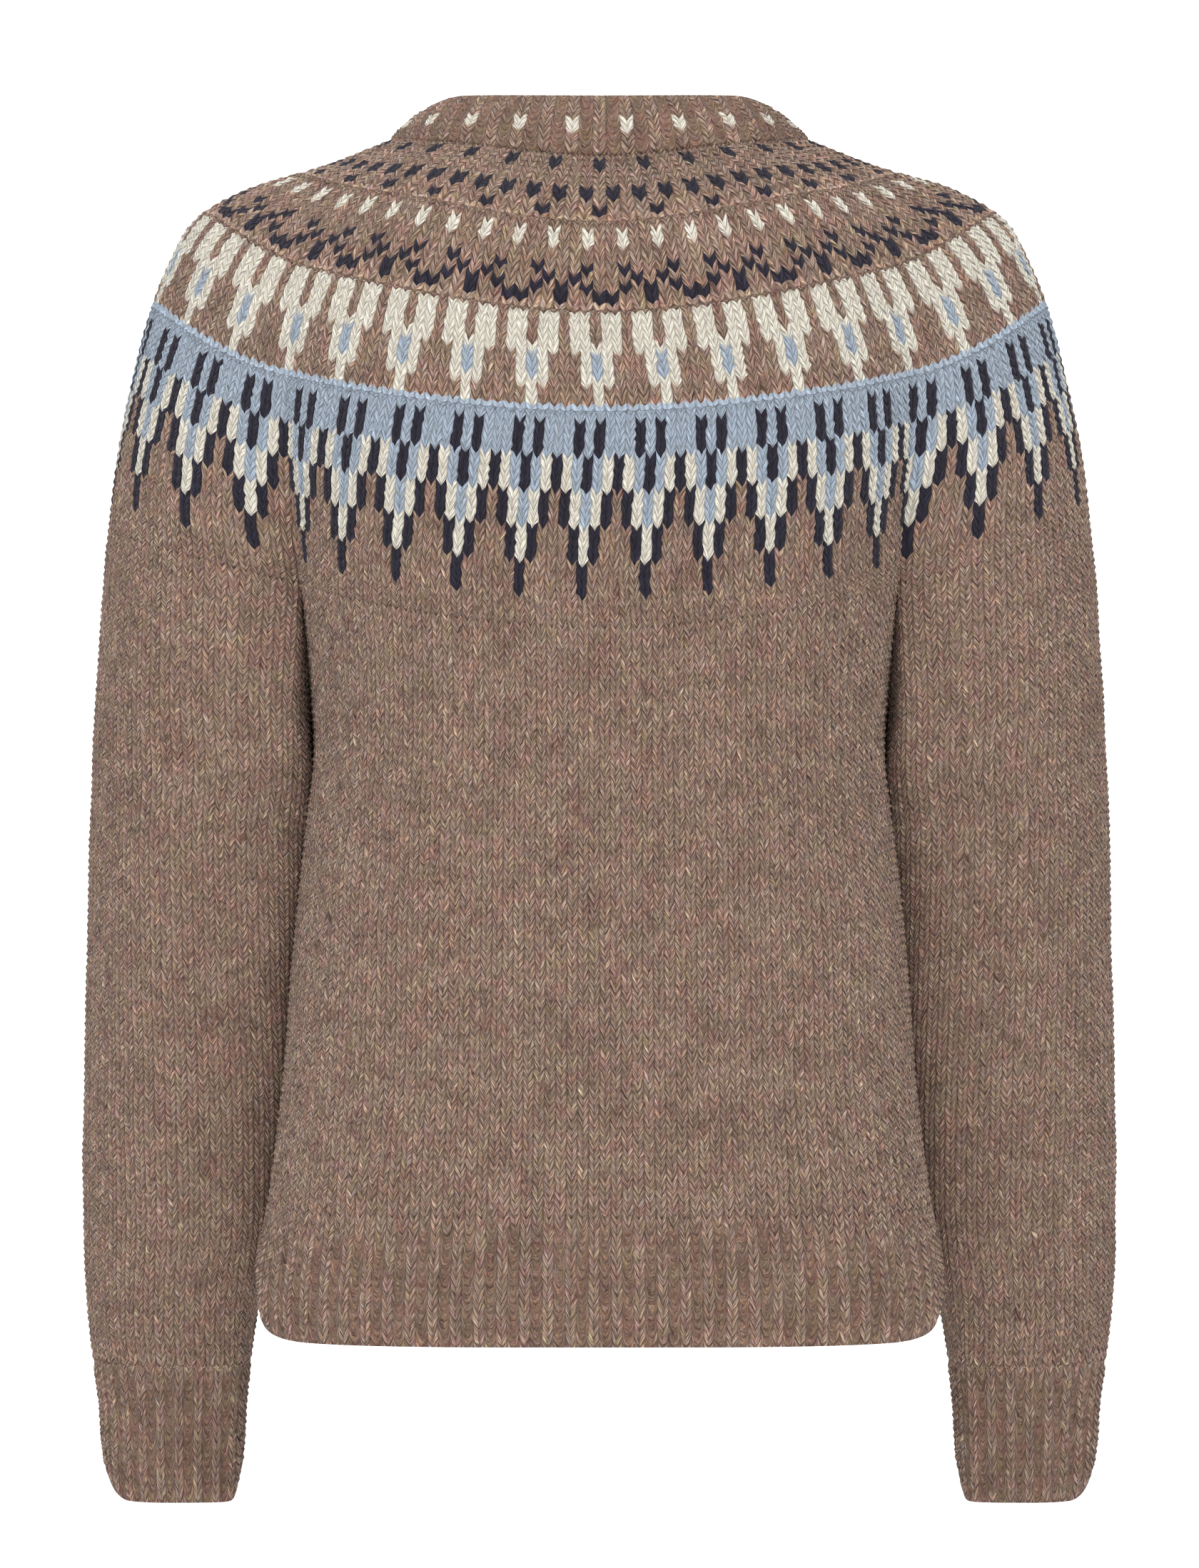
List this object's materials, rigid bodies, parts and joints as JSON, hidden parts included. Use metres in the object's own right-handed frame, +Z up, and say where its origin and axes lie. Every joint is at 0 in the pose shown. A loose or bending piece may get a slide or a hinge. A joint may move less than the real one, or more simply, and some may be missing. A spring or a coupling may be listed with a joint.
{
  "type": "cardigan",
  "caption": "Round-yoke knitted wool cardigan in its worn shape, hollow, with ribbed hem, cuffs and neckband and a buttoned front",
  "frame": {"origin": "centre of the neckline, at the height of the yoke's upper edge at the back of the neck, where the worn garment hangs on the wearer", "axes": "+Z up, the wearer faces -Y, the wearer's left is +X"},
  "size_m": [0.5116, 0.2449, 0.6866],
  "materials": {
    "wool": "soft heathered knitted wool",
    "button": "plain dark brown button, satin"
  },
  "bodies": {
    "root": {"yoke": "wool", "back": "wool", "front_left": "wool", "front_right": "wool", "sleeve_left": "wool", "sleeve_right": "wool", "neckband": "wool", "hem_back": "wool", "hem_front_left": "wool", "hem_front_right": "wool", "cuff_left": "wool", "cuff_right": "wool", "button_band_left": "wool", "button_band_right": "wool", "button_1": "button", "button_2": "button", "button_3": "button", "button_4": "button", "button_5": "button", "button_6": "button", "button_7": "button"}
  },
  "joints": []
}
